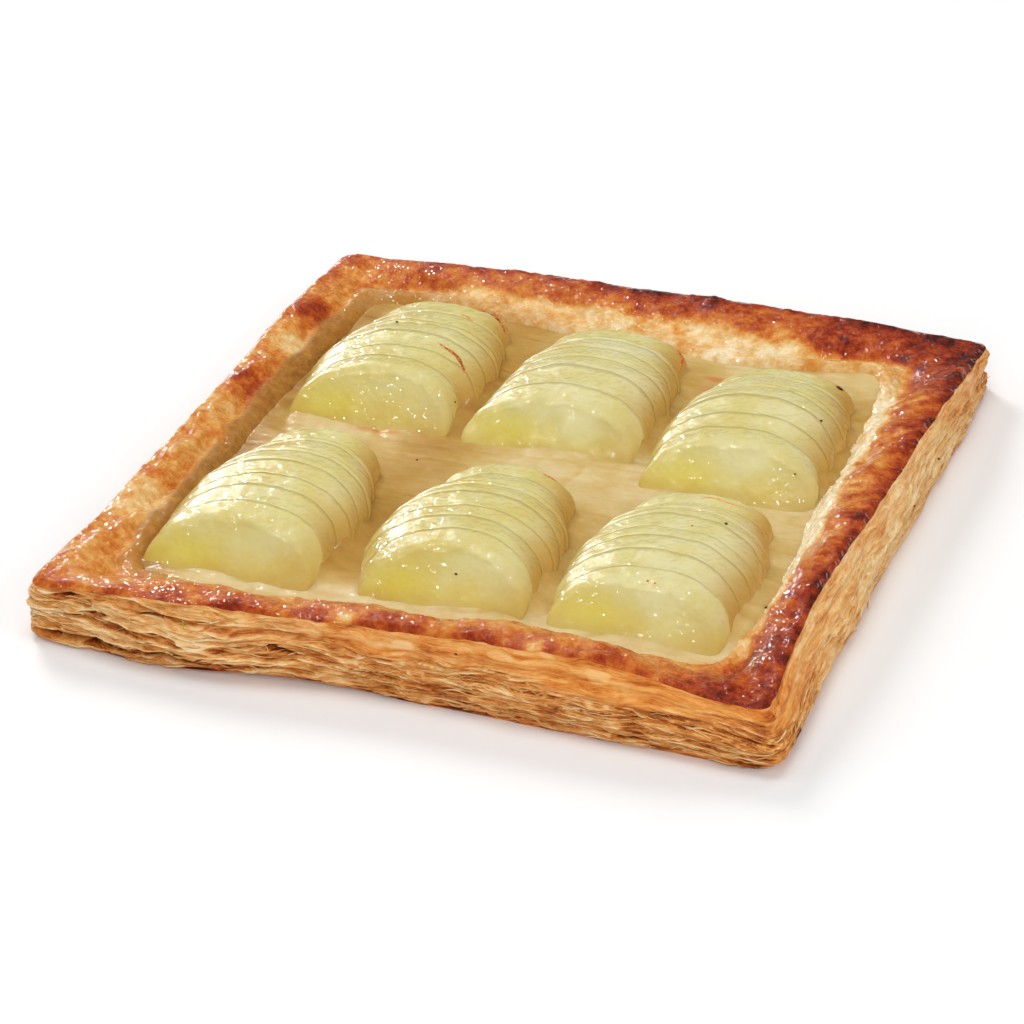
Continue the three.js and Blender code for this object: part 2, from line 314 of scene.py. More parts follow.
def add_node(tree, kind, inputs, **settings):
    node = tree.nodes.new("ShaderNode" + kind)
    for key, value in settings.items():
        setattr(node, key, value)
    connect(tree, node, inputs)
    return node


class Shader:
    """A material, with a method for each kind of node that the tart uses. Its place is in mm."""

    def __init__(self, name):
        self.material = bpy.data.materials.new(name)
        self.material.use_nodes = True
        self.tree = self.material.node_tree
        self.place = self.vector("MULTIPLY", self.node("TexCoord", {}).outputs["Object"], (1000, 1000, 1000))

    def node(self, kind, inputs, **settings):
        return add_node(self.tree, kind, inputs, **settings)

    def vector(self, operation, a, b):
        return self.node("VectorMath", {0: a, 1: b}, operation=operation).outputs[0]

    def maths(self, operation, a, b):
        return self.node("Math", {0: a, 1: b}, operation=operation).outputs[0]

    def attribute(self, name):
        return self.node("Attribute", {}, attribute_name=name, attribute_type="GEOMETRY").outputs["Fac"]

    def noise(self, size, detail=3, roughness=0.55, distortion=0, place=None):
        """Noise from 0 to 1 with lumps about size mm across; size is one number or three."""
        scales = [1 / each for each in np.broadcast_to(size, 3)]
        place = self.vector("MULTIPLY", self.place if place is None else place, scales)
        shape = {"Scale": 1, "Detail": detail, "Roughness": roughness, "Distortion": distortion}
        return self.node("TexNoise", {"Vector": place, **shape}).outputs["Fac"]

    def cells(self, size):
        inputs = {"Vector": self.place, "Scale": 1 / size, "Randomness": 1}
        return self.node("TexVoronoi", inputs, feature="SMOOTH_F1").outputs["Distance"]

    def span(self, value, low, high, to_low=0.0, to_high=1.0):
        inputs = {"Value": value, "From Min": low, "From Max": high, "To Min": to_low, "To Max": to_high}
        return self.node("MapRange", inputs, interpolation_type="SMOOTHSTEP").outputs["Result"]

    def varied(self, value, *changes):
        """A value with noises added, each with the range of the noise that counts and its most effect."""
        for noise, low, high, amount in changes:
            value = self.maths("ADD", value, self.span(noise, low, high, -amount, amount))
        return value

    def ramp(self, value, stops):
        """Colours along a value; each stop is its place and a colour as seen on a screen."""
        node = self.node("ValToRGB", {"Fac": value})
        elements = node.color_ramp.elements
        while len(elements) < len(stops):
            elements.new(1)
        for element, (at, colour) in zip(elements, stops):
            element.position = at
            element.color = linear(*colour)
        return node.outputs["Color"]

    def blend(self, share, a, b, mode="MIX"):
        """Two colours, each another node's or one as seen on a screen, mixed."""
        a, b = (linear(*each) if isinstance(each, tuple) else each for each in (a, b))
        inputs = {"Factor": share, 6: a, 7: b}
        return self.node("Mix", inputs, data_type="RGBA", blend_type=mode).outputs[2]

    def relief(self, *layers):
        """Relief from heights of 0 to 1 on top of each other, each with the mm that a height of 1 makes."""
        below = {}
        for height, size in layers:
            inputs = {"Height": height, "Distance": size * 0.001, **below}
            below = {"Normal": self.node("Bump", inputs).outputs["Normal"]}
        return below["Normal"]

    def finish(self, **sockets):
        inputs = {key.replace("_", " "): value for key, value in sockets.items()}
        connect(self.tree, self.tree.nodes["Principled BSDF"], inputs)
        return self.material


# Colours with their places on a scale: pale to burnt for what is baked, and dark to pale for the rest.
BAKED_COLOURS = [
    (0.0, (250, 232, 192)), (0.18, (238, 200, 138)), (0.36, (224, 160, 80)), (0.5, (210, 122, 48)),
    (0.64, (186, 84, 32)), (0.78, (150, 50, 22)), (0.9, (104, 32, 18)), (1.0, (60, 24, 16)),
]
SCORCHED_COLOURS = [(0.0, (232, 168, 74)), (0.35, (218, 124, 44)), (0.65, (156, 58, 22)), (1.0, (44, 24, 16))]
# The golden browns of the painted shade on the rim's inner slope.
SHADED_SLOPE_COLOURS = [(0.3, (146, 90, 34)), (0.7, (184, 130, 54))]
# The dark end of the side's colours is painted shade in the gaps between the leaves.
WALL_COLOURS = [
    (0.0, (104, 46, 16)), (0.2, (176, 100, 42)), (0.42, (220, 152, 78)), (0.62, (236, 186, 116)),
    (0.82, (246, 214, 156)), (1.0, (252, 234, 196)),
]
# The darker end of the cream's colours serves the golden brown beside the pears and along the left rim,
# partly painted shade.
CREAM_COLOURS = [
    (0.0, (166, 118, 48)), (0.3, (188, 146, 70)), (0.6, (206, 174, 106)), (0.85, (222, 200, 148)),
    (1.0, (232, 214, 170)),
]
PEAR_COLOURS = [
    (0.0, (194, 148, 60)), (0.25, (208, 178, 84)), (0.5, (216, 196, 112)), (0.75, (220, 208, 140)),
    (1.0, (230, 222, 172)),
]
HERB_COLOURS = [(0.3, (124, 160, 40)), (0.7, (176, 200, 76))]


def rim_material():
    """The browned, egg-washed and glazed top: streaky, blistered and glossy, with painted shade on its inner
    slope.
    """
    s = Shader("browned_crust")
    mottle = s.noise(3.4, 4, 0.6)
    freckle = s.noise(0.9, 3, 0.6)
    baked = s.varied(s.attribute("baked"), (mottle, 0.25, 0.75, 0.12), (freckle, 0.3, 0.7, 0.05))
    baked = s.maths("ADD", baked, s.maths("MULTIPLY", s.attribute("blister"), -0.08))
    # On the inner slope the colour blends into painted shade, a golden brown.
    colour = s.blend(s.attribute("golden"), s.ramp(baked, BAKED_COLOURS), s.ramp(mottle, SHADED_SLOPE_COLOURS))
    return s.finish(
        Base_Color=colour,
        Roughness=0.55,
        Specular_IOR_Level=0.1,
        Normal=s.relief((s.noise(2, 2, 0.5), 0.35), (s.cells(1.3), 0.2), (freckle, 0.08)),
        Coat_Weight=s.span(s.noise(6), 0.3, 0.6, 0.4, 1),
        Coat_Roughness=0.06,
        Coat_IOR=1.42,
        Coat_Normal=s.relief((s.noise(2.6, 1), 1.1), (s.noise(1.1, 0), 0.3)),
    )


def wall_material():
    """The cut side of puff pastry: pale leaf edges, partly a painted highlight, and painted brown shade
    between them, with streaks along each leaf.
    """
    s = Shader("flaky_side")
    flat = s.vector("MULTIPLY", s.place, (1, 1, 0))
    along = s.vector("ADD", flat, s.node("CombineXYZ", {"Z": s.attribute("layer")}).outputs[0])
    streak = s.noise((7, 7, 0.55), 4, 0.6, 0.4, along)
    fibre = s.noise((2.4, 2.4, 0.3), 3, 0.6, 0.6, along)
    patch = s.noise((9, 9, 5), 3, 0.6)
    changes = (streak, 0.25, 0.75, 0.12), (fibre, 0.25, 0.75, 0.15), (patch, 0.3, 0.7, 0.1)
    colour = s.ramp(s.varied(s.attribute("leaf"), *changes), WALL_COLOURS)
    return s.finish(
        Base_Color=s.blend(s.attribute("warm"), colour, (248, 198, 132), "MULTIPLY"),
        Roughness=s.span(patch, 0.3, 0.7, 0.38, 0.6),
        Normal=s.relief((streak, 0.25), (fibre, 0.14)),
        Specular_IOR_Level=0.3,
    )


def cream_material():
    """Baked pastry cream: a soft beige skin, golden brown beside the pears and along the left rim, partly
    browned juice and partly painted shade, darker along its creases as painted shade, and toasted in a few
    places.
    """
    s = Shader("baked_cream")
    patch = s.noise((18, 12, 12), 3, 0.55, 0.3)
    fine = s.noise((3, 2, 2), 4, 0.6)
    tone = s.varied(s.span(patch, 0.25, 0.75, 0.72, 0.96), (fine, 0.3, 0.7, 0.04))
    # Darker along the creases as painted shade; golden brown beside the pears and along the left rim, partly
    # browned juice and partly painted shade.
    for name, amount in (("crease", -0.1), ("amber_and_shade", -0.72)):
        tone = s.maths("ADD", tone, s.maths("MULTIPLY", s.attribute(name), amount))
    toast = s.maths("MULTIPLY", s.attribute("toast"), s.span(fine, 0.2, 0.6, 0.6, 1.1))
    return s.finish(
        Base_Color=s.blend(toast, s.ramp(tone, CREAM_COLOURS), (206, 116, 42)),
        Roughness=0.4,
        Normal=s.relief((s.noise((8, 4, 4), 2, 0.5, 0.3), 0.25), (fine, 0.08)),
        Subsurface_Weight=0.25,
        Subsurface_Scale=0.0015,
        Specular_IOR_Level=0.2,
        Coat_Weight=0.3,
        Coat_Roughness=0.15,
        Coat_Normal=s.relief((s.noise((4, 1.8, 2), 1), 0.3)),
    )


def pear_material():
    """Poached pear under a thin glaze: pale and greenish, deeper yellow low down, with a painted glow of
    light shining through the lower left of the front faces and painted warm shade on the right flanks, at the
    foot and in the joints.
    """
    s = Shader("glazed_pear")
    changes = (s.noise(13), 0.3, 0.7, 0.12), (s.noise((2, 4, 4), 2, 0.5), 0.3, 0.7, 0.02)
    tone = s.varied(s.attribute("pale"), *changes)
    # A painted glow, yellow-green, of light shining through the lower left of the front faces.
    colour = s.blend(s.attribute("green"), s.ramp(tone, PEAR_COLOURS), (220, 204, 82))
    lumps = s.maths("MULTIPLY", s.noise(3.4, 1), s.attribute("thick"))
    return s.finish(
        # Painted warm shade, amber, on the right flanks, at the foot and in the joints between slices.
        Base_Color=s.blend(s.attribute("amber_and_shade"), colour, (192, 148, 70)),
        Roughness=0.36,
        Normal=s.relief((s.noise(3.4, 1, 0.5), 0.25), (s.noise(1.2, 1, 0.5), 0.03)),
        Subsurface_Weight=0.35,
        Subsurface_Scale=0.0004,
        Subsurface_Radius=(1.0, 0.8, 0.3),
        Specular_IOR_Level=0.2,
        Coat_Weight=0.8,
        Coat_Roughness=0.05,
        Coat_IOR=1.42,
        Coat_Normal=s.relief((s.noise(3, 0), 0.7), (lumps, 3.0), (s.noise(1.5, 0), 0.55)),
    )


def scorch_material():
    """Scorched fruit and baked specks: orange where lightly burnt, nearly black where dark."""
    s = Shader("scorched")
    colour = s.ramp(s.varied(s.attribute("dark"), (s.noise(1.1), 0.3, 0.7, 0.3)), SCORCHED_COLOURS)
    return s.finish(Base_Color=colour, Roughness=0.4, Normal=s.relief((s.noise(0.6, 2), 0.15)))


def herb_material():
    s = Shader("green_herb")
    colour = s.ramp(s.noise(0.7, 2), HERB_COLOURS)
    return s.finish(Base_Color=colour, Roughness=0.5, Normal=s.relief((s.noise(0.4, 2), 0.1)))


# ---- The pastry case ----


def ripple(turn, count, seed):
    """An uneven wave between about -1 and 1 that closes on itself after one turn."""
    waves = np.sin(count * turn + seed)
    waves = waves + 0.6 * np.sin((2 * count + 1) * turn + 2.1 * seed)
    return (waves + 0.4 * np.sin((4 * count + 3) * turn + 3.7 * seed)) / 2


def along_edge(stations, step):
    """A value that changes smoothly from one station round the edge to the next."""
    stations = np.asarray(stations, float)
    at = step / 4 * len(stations)
    before = np.floor(at).astype(int)
    a, b = stations[before % len(stations)], stations[(before + 1) % len(stations)]
    return mix(a, b, smooth(at - before))


class Edge:
    """The tart's edge at an array of steps: 0 to 4, one for each side, from the front left corner."""

    def __init__(self, step):
        self.step = step % 4
        self.side = np.floor(self.step).astype(int)
        self.along = self.step - self.side
        self.turn = self.step * np.pi / 2
        self.lift = 0
        for middle, reach, height in LIFTS:
            away = np.minimum(abs(self.step - middle), 4 - abs(self.step - middle))
            self.lift = self.lift + height * smooth(1 - away / reach)
        self.height = along_edge(HEIGHT, self.step) + 0.4 * ripple(self.turn, 5, 1.3)
        self.drawn_in = along_edge(DRAWN_IN, self.step) + UNEVENNESS * ripple(self.turn, 7, 2.6)
        self.rim_width = along_edge(RIM_WIDTH, self.step)
        self.flare = along_edge(FLARE, self.step)

    def point(self, half, radius):
        """The point there on a square with rounded corners."""
        core = half - radius
        x = (2 * self.along - 1) * half
        inside = np.clip(x, -core, core)
        out = np.stack([x - inside, -radius * np.ones_like(x)], -1)
        out = unit(out) * np.asarray(radius)[..., None]
        x, y = inside + out[..., 0], out[..., 1] - core
        quarter = self.side * np.pi / 2
        cos, sin = np.round(np.cos(quarter)), np.round(np.sin(quarter))
        return x * cos - y * sin, x * sin + y * cos


def wall_belly(edge, share):
    low = mix(0.55, 1, smooth(share / 0.35))
    high = 1 - smooth((share - 0.35) / 0.65)
    return edge.flare * np.where(share < 0.35, low, high)


def bundles(edge, share):
    """The relief of the bundles of leaves that the solid has, between its rows."""
    rows = []
    for row in range(len(WALL_SHARES)):
        standing = 0.55 + 0.45 * ripple(edge.turn, 9 + row, row)
        rows.append(LEAF_DEPTH * (standing if row % 2 else 0.12 * ripple(edge.turn, 23, row)))
    rows.append(np.zeros_like(rows[0]))
    shares = [*WALL_SHARES, 1]
    at = np.interp(share, shares, range(len(shares)))
    before = np.minimum(np.floor(at).astype(int), len(shares) - 2)
    rows = np.stack(rows)
    columns = np.arange(rows.shape[1])[None, :]
    return mix(rows[before, columns], rows[before + 1, columns], smooth(at - before))


def leaves(place, length, thickness, seed):
    """Leaves of pastry seen edge on, about so many mm long and thick: 1 on the thin edge of a leaf, and how
    deep the gap between two leaves is, from 0 to 1."""
    level = noise(place, (length, length, thickness), seed)
    level = level + 0.45 * noise(place, (length / 2.3, length / 2.3, thickness / 1.9), seed + 1)
    return smooth(1.25 - np.abs(level - 0.1) / 0.1), smooth((level - 0.14) / 0.2)


# Where the leaves have parted: the middle (step, share of the height), half length, half height and depth.
PARTINGS = [
    ((0.06, 0.16), 13, 1.3, 4), ((0.115, 0.17), 9, 1.7, 4), ((0.225, 0.2), 12, 1.3, 3.5),
    ((0.055, 0.84), 5, 0.5, 1.5), ((0.08, 0.56), 8, 0.45, 1.5), ((0.105, 0.6), 5, 0.8, 2),
    ((0.2, 0.72), 7, 0.5, 1.5), ((0.36, 0.5), 9, 0.5, 1.4), ((0.47, 0.4), 6, 0.5, 1.3),
    ((0.66, 0.2), 5, 0.5, 1.4), ((0.82, 0.12), 6, 0.5, 1.4), ((1.62, 0.35), 12, 0.5, 1.2),
    ((2.3, 0.3), 10, 0.8, 2), ((2.7, 0.55), 9, 0.7, 1.8), ((3.25, 0.3), 11, 0.9, 2.2),
    ((3.7, 0.5), 9, 0.8, 2),
]


def lip(place):
    """How the outer top edge wanders, in and up."""
    return 0.35 * noise(place, 6, 401) + 0.2 * noise(place, 2.5, 402)


def wall_surface(step, share):
    """The flaky side at some steps and a column of shares of its height, or a row of as many shares: its
    points, how light it is, with painted shade in the gaps between the leaves, its layers and how warm its
    colour is."""
    edge = Edge(step)
    share = np.atleast_2d(share)
    ground_x, ground_y = edge.point(TOP_SIDE / 2, TOP_CORNER_RADIUS)
    base = mix(edge.lift, edge.height - EDGE_DROP, share)
    place = stack(ground_x[None, :], ground_y[None, :], base)
    along = edge.step[None, :] * TOP_SIDE + 0 * base

    leafy, fine, smeared = (along_edge(each, edge.step) for each in (LEAFY, FINE, SMEARED))
    skin = smeared * smooth((share - 0.6 + 0.14 * noise(place, 14, 17)) / 0.12)
    sweep = 1 - smooth(np.abs(edge.step - 1) / 0.14)
    warp = 1.6 * leafy * noise(place, (26, 26, 8), 11) + 0.8 * noise(place, (11, 11, 5), 12)
    warp = warp + 0.3 * noise(place, (4, 4, 2), 13) + 4 * sweep * smooth(share)
    layer = base + warp
    layered = stack(ground_x[None, :], ground_y[None, :], layer)
    coarse, big_gap = leaves(layered, 24, 2.8, 21)
    thin, gap = leaves(layered, 13, 1.15, 24)
    hair, slit = leaves(layered, 8, 0.75, 27)
    inner = smooth(share / 0.05) * smooth((1 - share) / 0.05)
    hollow = leafy * (1.2 * big_gap - 0.4 * coarse)
    groove = fine * (0.6 * gap - 0.25 * thin) + 0.3 * slit - 0.1 * hair
    out = 0.35 - (hollow + groove) * (1 - 0.85 * skin) + 0.45 * cloud(place, (14, 14, 6), 15)

    parted = 0
    for (at, level), half_length, half_height, depth in PARTINGS:
        away = (along - at * TOP_SIDE + TOP_SIDE * 2) % (TOP_SIDE * 4) - TOP_SIDE * 2
        middle = mix(edge.lift, edge.height, level) + 0.9 * np.sin(away / 7 + at * 9)
        gap = half_height * np.clip(1 - (away / half_length) ** 2, 0, 1) + 1e-6
        here = smooth(1.5 - np.abs(base - middle) / gap) * (np.abs(away) < half_length)
        out = out - depth * here
        parted = np.maximum(parted, here)
    out = out * inner

    wander = lip(stack(ground_x, ground_y, edge.height - EDGE_DROP))
    inset = edge.drawn_in - wall_belly(edge, share) - bundles(edge, share) - out
    inset = inset + wander * smooth((share - 0.8) / 0.2)
    radius = mix(BASE_CORNER_RADIUS, TOP_CORNER_RADIUS, share) * np.ones_like(inset)
    x, y = edge.point(TOP_SIDE / 2 - inset, radius)
    x, y = np.clip(x, CASE_LOW[0], CASE_HIGH[0]), np.clip(y, CASE_LOW[1], CASE_HIGH[1])
    z = base + 0.25 * inner * noise(place, (9, 9, 3), 16) + wander * share**6

    bare = 1 - skin
    # Darker in the gaps between the leaves and where they have parted: painted shade. Lighter on the thin
    # edges of the leaves: partly their paler dough, partly a painted highlight.
    tone = mix(along_edge(TONED, edge.step), 0.56, skin) - bare * (0.38 * fine * gap + 0.3 * leafy * big_gap)
    tone = tone + 0.34 * bare * fine * thin + 0.36 * bare * leafy * coarse - 0.5 * parted
    tone = tone + bare * (0.18 * hair - 0.15 * slit + 0.1 * leafy * smooth((share - 0.3) / 0.3))
    smear = noise(stack(along / 9, layer / 0.9, 0 * along), 1, 23)
    tone = tone + 0.26 * skin * smear + 0.34 * skin * smooth((noise(place, (7, 7, 2), 25) - 0.35) / 0.3)
    tone = tone - 0.24 * smooth(1 - share / 0.09 + 0.6 * noise(place, 7, 20))
    warm = along_edge(WARM, edge.step) * (0.5 + 0.5 * smooth(share / 0.6))
    warm = warm + 0.45 * skin + 0.5 * smooth(1 - share / 0.1) + 0.35 * leafy * smooth(1 - share / 0.45)
    return stack(x, y, z), tone, layer, warm


def make_walls(material):
    share = np.linspace(0, 1, WALL_ROWS)[:, None]
    faces = grid_faces(WALL_ROWS, WALL_COLUMNS + 1, False)
    for name, first in (("front", -0.5), ("back", 1.5)):
        points, *values = wall_surface(np.linspace(first, first + 2, WALL_COLUMNS + 1), share)
        looks = dict(zip(("leaf", "layer", "warm"), values))
        yield make_piece("flaky_wall_" + name, points, faces, material, "crust", ["pastry_case"], **looks)


def make_underside(material):
    """The flat base, pale in the middle and browner towards its edge."""
    step = np.arange(WALL_COLUMNS) / WALL_COLUMNS * 4
    edge = Edge(step)
    rim = wall_surface(step, 0)[0][0]
    x, y = edge.point(TOP_SIDE / 2 - BASE_INSET, np.full(len(step), TOP_CORNER_RADIUS))
    rows = [stack(share * x, share * y, 0 * x) for share in np.linspace(0.04, 1, 26)]
    for share in np.linspace(0.1, 1, 24):
        rows.append(stack(mix(x, rim[:, 0], share), mix(y, rim[:, 1], share), edge.lift * share))
    rows = np.stack(rows)
    level = 0.25 * smooth(cloud(rows, (15, 15, 5), 26)) * smooth(np.linspace(4, 0, len(rows)))[:, None]
    rows[..., 2] = rows[..., 2] + level
    points = np.concatenate([rows.reshape(-1, 3), [[0, 0, 0]]])
    faces = fan_faces(0, WALL_COLUMNS, len(points) - 1, flip=True) + grid_faces(len(rows), WALL_COLUMNS, True)
    tone = 0.6 + 0.2 * cloud(points, (22, 22, 9), 27) - 0.2 * smooth(np.abs(points[:, :2]).max(1) / 30 - 2.6)
    looks = {"leaf": tone, "layer": points[:, 2] + 0.5 * points[:, 0], "warm": np.full(len(points), 0.3)}
    return make_piece("flat_base", points, faces, material, "crust", ["pastry_case"], **looks)


def smooth_line(at, known, values):
    """A smooth curve through values (one row each) at known places, at other places along it."""
    known = np.asarray(known, float)
    slope = np.gradient(values, known, axis=0)
    i = np.clip(np.searchsorted(known, at, side="right") - 1, 0, len(known) - 2)
    width = (known[i + 1] - known[i])[:, None]
    t = (at - known[i])[:, None] / width
    a, b = values[i], values[i + 1]
    start, end = slope[i] * width, slope[i + 1] * width
    return (
        (2 * t**3 - 3 * t**2 + 1) * a
        + (t**3 - 2 * t**2 + t) * start
        + (-2 * t**3 + 3 * t**2) * b
        + (t**3 - t**2) * end
    )


# Browner (+) and paler (-) places on the rim: the pixel of the middle in the picture, radius in mm, how much.
RIM_PATCHES = [
    ((252, 382), 10, 0.16), ((312, 306), 8, 0.16), ((292, 344), 7, -0.2), ((330, 290), 7, -0.1),
    ((395, 263), 6, 0.1), ((432, 267), 7, 0.14), ((205, 425), 9, -0.04), ((135, 492), 14, -0.16),
    ((75, 556), 12, -0.03), ((470, 270), 6, 0.1), ((540, 282), 6, 0.06), ((605, 286), 6, 0.16),
    ((650, 293), 7, 0.16), ((705, 300), 8, 0.16), ((700, 325), 8, -0.1), ((110, 598), 6, 0.1),
    ((160, 600), 6, 0.12), ((232, 608), 7, 0.14), ((315, 611), 6, 0.16), ((290, 598), 5, -0.1),
    ((344, 616), 3, -0.3), ((385, 626), 7, 0.12), ((470, 634), 7, 0.1), ((534, 644), 3, -0.3),
    ((570, 650), 7, 0.04), ((650, 664), 8, -0.1), ((741, 648), 5, -0.2), ((722, 688), 7, 0.1),
    ((768, 650), 8, 0.12), ((818, 590), 7, 0.08), ((853, 512), 6, 0.1), ((905, 440), 7, 0.06),
    ((935, 380), 7, 0.1), ((880, 352), 8, -0.1),
]


def make_rim(material):
    step = np.arange(RIM_COLUMNS) / RIM_COLUMNS * 4
    edge = Edge(step)
    ground_x, ground_y = edge.point(TOP_SIDE / 2, TOP_CORNER_RADIUS)
    shares = np.linspace(0, RIM_END, RIM_ROWS)
    known = [*(share for share, _ in RIM_PROFILE), 1, 1.2, RIM_END]
    over = along_edge(OVER_CREAM, step)
    heights = []
    for row, (_, drop) in enumerate(RIM_PROFILE):
        heights.append(edge.height + drop + 0.25 * row * ripple(edge.turn, 15, row))
    heights += [CREAM_LEVEL + 0.9 + 0.25 * over, CREAM_LEVEL + 0.5 + 0.12 * over]
    heights.append(CREAM_LEVEL - 2.5 + 0 * over)
    z = smooth_line(shares, known, np.stack(heights))
    share = shares[:, None]
    inset = mix(edge.drawn_in, edge.rim_width, np.minimum(share, 1)) + over * np.clip(share - 1, 0, 1) / 0.4
    radius = mix(TOP_CORNER_RADIUS, RECESS_CORNER_RADIUS, np.minimum(share, 1)) * np.ones_like(inset)
    wander = lip(stack(ground_x, ground_y, edge.height - EDGE_DROP))
    across = stack(ground_x, ground_y, 9 * share)
    inset = inset + wander * smooth(1 - share / 0.15) + 0.6 * noise(across, 8, 31) * smooth(share / 0.2)
    x, y = edge.point(TOP_SIDE / 2 - inset, radius)
    place = stack(x, y, z)

    free = smooth(share / 0.1) * smooth((RIM_END - share) / 0.25)
    swell = 0.8 * cloud(place, 22, 32) + 0.5 * noise(place, 8, 33)
    bubbly = smooth(0.5 + 1.2 * noise(place, 17, 35))
    bubbles = bubbly * blisters(place, 3.2, 34)
    small = blisters(place, 1.7, 41)
    straight = smooth(np.minimum(edge.along, 1 - edge.along) / 0.07)
    mm_along = (2 * edge.along - 1) * TOP_SIDE / 2
    lean = mm_along + 0.5 * inset
    ridge = noise(stack(lean / 2.6, inset / 15, 7.0 * edge.side), 1, 36) * straight
    streak = noise(stack(lean / 4.2, inset / 24, 3.0 * edge.side + 2), 1, 42) * straight
    ridged = along_edge(RIDGED, step)
    foam = smooth((share - along_edge(INNER_AT, step) + 0.14) / 0.1) * along_edge(FOAMY, step)
    z = z + free * (swell + 0.7 * bubbles + 0.3 * small + 0.35 * ridged * ridge + 0.8 * foam * small)
    z = z + wander * smooth(1 - share / 0.15)

    outer, middle, inner = (along_edge(each, step) for each in (BAKED_OUTER, BAKED_MIDDLE, BAKED_INNER))
    middle_at, inner_at = along_edge(MIDDLE_AT, step), along_edge(INNER_AT, step)
    wavy = share + 0.07 * noise(place, 9, 37) + 0.05 * (ridge + streak) * ridged - 0.05 * bubbles
    baked = mix(outer, middle, smooth(wavy / middle_at))
    baked = mix(baked, inner, smooth((wavy - inner_at + 0.16) / 0.18))
    baked = baked + 0.1 * cloud(place, 16, 38) + 0.06 * noise(place, 5, 39) + 0.11 * (ridge + streak) * ridged
    baked = baked + 0.08 * smooth((swell - 0.2) / 0.8)
    points = stack(x, y, z).reshape(-1, 3)
    baked = baked.ravel()
    for pixel, size, amount in RIM_PATCHES:
        away = np.linalg.norm(points - seen_at(points, pixel), axis=1) / size
        baked = baked + amount * smooth(1.3 - away)
    looks = {
        "baked": np.clip(baked, 0, 1),
        "blister": free * np.maximum(bubbles, small * 0.6),
        # Painted shade on the inner slope, most on the left.
        "golden": along_edge(SHADED_SLOPE, step) * smooth((share - 0.78 + 0.1 * noise(place, 8, 43)) / 0.25),
    }
    faces = grid_faces(RIM_ROWS, RIM_COLUMNS, True)
    return make_piece("browned_rim", points, faces, material, "crust", ["pastry_case"], **looks)


# ---- The pears ----


class Slice:
    """A slice of pear, with its place and sizes read from its solid."""

    def __init__(self, node, is_last):
        low, high = (np.array(corner) * 1000 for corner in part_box(node))
        self.node = node
        self.number = int(node.rsplit("_", 1)[1])
        self.x = (low[0] + high[0]) / 2
        self.width = high[0] - low[0]
        self.height = high[2] - CREAM_LEVEL
        self.start = low[1] + SLICE_LEAN * SLICE_SINK
        self.reach = SLICE_LEAN * self.height + END_REACH
        if is_last:
            self.depth = high[1] - self.start - SLICE_LEAN * self.height - END_REACH
        else:
            self.depth = high[1] - self.start - SLICE_LEAN * 0.95 * self.height


def read_fans():
    fans = {}
    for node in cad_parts:
        if node.startswith("pear_"):
            name, number = node[5:].split("_slice_")
            fans.setdefault(name, {})[int(number)] = node
    for name, nodes in fans.items():
        last = max(nodes)
        slices = [Slice(nodes[n], n == last) for n in range(1, last + 1)]
        for this, following in zip(slices, slices[1:]):
            this.depth = following.start - this.start - SLICE_GAP
        fans[name] = slices
    return fans


# The rounding of a slice's front edge: how far behind its face and how far inwards. The front slice's shows;
# that of the others starts under the slice before.
FACE_ROUNDING = [(0.0, 1.6), (0.2, 0.95), (0.6, 0.46), (1.2, 0.16), (2.2, 0.0)]
EDGE_ROUNDING = [(-0.6, 0.75), (-0.2, 0.26), (0.1, 0.11), (0.4, 0.05), (0.9, 0.02), (1.5, 0.0)]
STEP_BACK = 0.05  # how far the back of a slice lies under the next one's edge
RIGHT_STEP = [0.3, 0.25, 0.15, 0.1, 0.05, 0.05, 0.05, 0.05, 0.05]  # and at its right end, slice by slice

# How pale each pear is, more or less than the others.
PALE = {"front_left": 0.0, "front_middle": -0.02, "front_right": 0.12}
PALE |= {"back_left": 0.0, "back_middle": 0.12, "back_right": 0.08}
# Front faces that are broken and uneven, by so many mm.
UNEVEN = {"pear_back_middle_slice_1": 1.5, "pear_back_right_slice_1": 0.6, "pear_front_left_slice_1": 0.5}
# Where the glaze lies thick: the slice, the pixel of the middle in the picture, and the radius in mm.
THICK_GLAZE = [
    ("pear_front_left_slice_1", (257, 566), 7),
    ("pear_front_left_slice_1", (170, 545), 4),
    ("pear_back_left_slice_1", (425, 395), 5),
    ("pear_back_middle_slice_1", (595, 430), 7),
    ("pear_back_right_slice_1", (745, 480), 6),
    ("pear_front_right_slice_1", (620, 620), 4),
]


def end_size(share):
    """How large a pear's rounded end is, beside its last slice, at a share of the way to its tip."""
    return np.sqrt(1 - (0.94 * share) ** 2)


def slice_sections(sl, following):
    """Rows round a slice, front to back: how far behind the face, middle, width, height, lean, and the share
    of the way out from the middle of the face."""
    front = (sl.x, sl.width, sl.height)
    faces = np.linspace(0.04, 0.98, 30) if sl.number == 1 else (0.4, 0.7, 0.85, 0.95)
    rounding = FACE_ROUNDING if sl.number == 1 else EDGE_ROUNDING
    behind, inwards = rounding[0]
    rows = [(behind, sl.x, sl.width - 2 * inwards, sl.height - inwards, SLICE_LEAN, out) for out in faces]
    for behind, inwards in rounding:
        rows.append((behind, sl.x, sl.width - 2 * inwards, sl.height - inwards, SLICE_LEAN, 1))
    first = rounding[-1][0]
    for share in (0.25, 0.5, 0.75, 1):
        x, width, height = (mix(a, b, share) for a, b in zip(front, following or front))
        inwards = STEP_BACK * share**1.5 * (following is not None)
        at_right = RIGHT_STEP[sl.number - 1] * share**2 * (following is not None)
        size = (width - 2 * inwards - at_right, height - inwards)
        rows.append((mix(first, sl.depth, share), x - at_right / 2, *size, SLICE_LEAN, 1))
    if following is not None:
        behind, x, width, height, lean, out = rows[-1]
        rows.append((behind + 1, x, width - 1, height - 0.6, lean, out))
    else:
        for share in np.linspace(0.08, 1, 14):
            size, lean = end_size(share), SLICE_LEAN * (1 - share)
            rows.append((sl.depth + share * sl.reach, sl.x, sl.width * size, sl.height * size, lean, 1))
    return rows


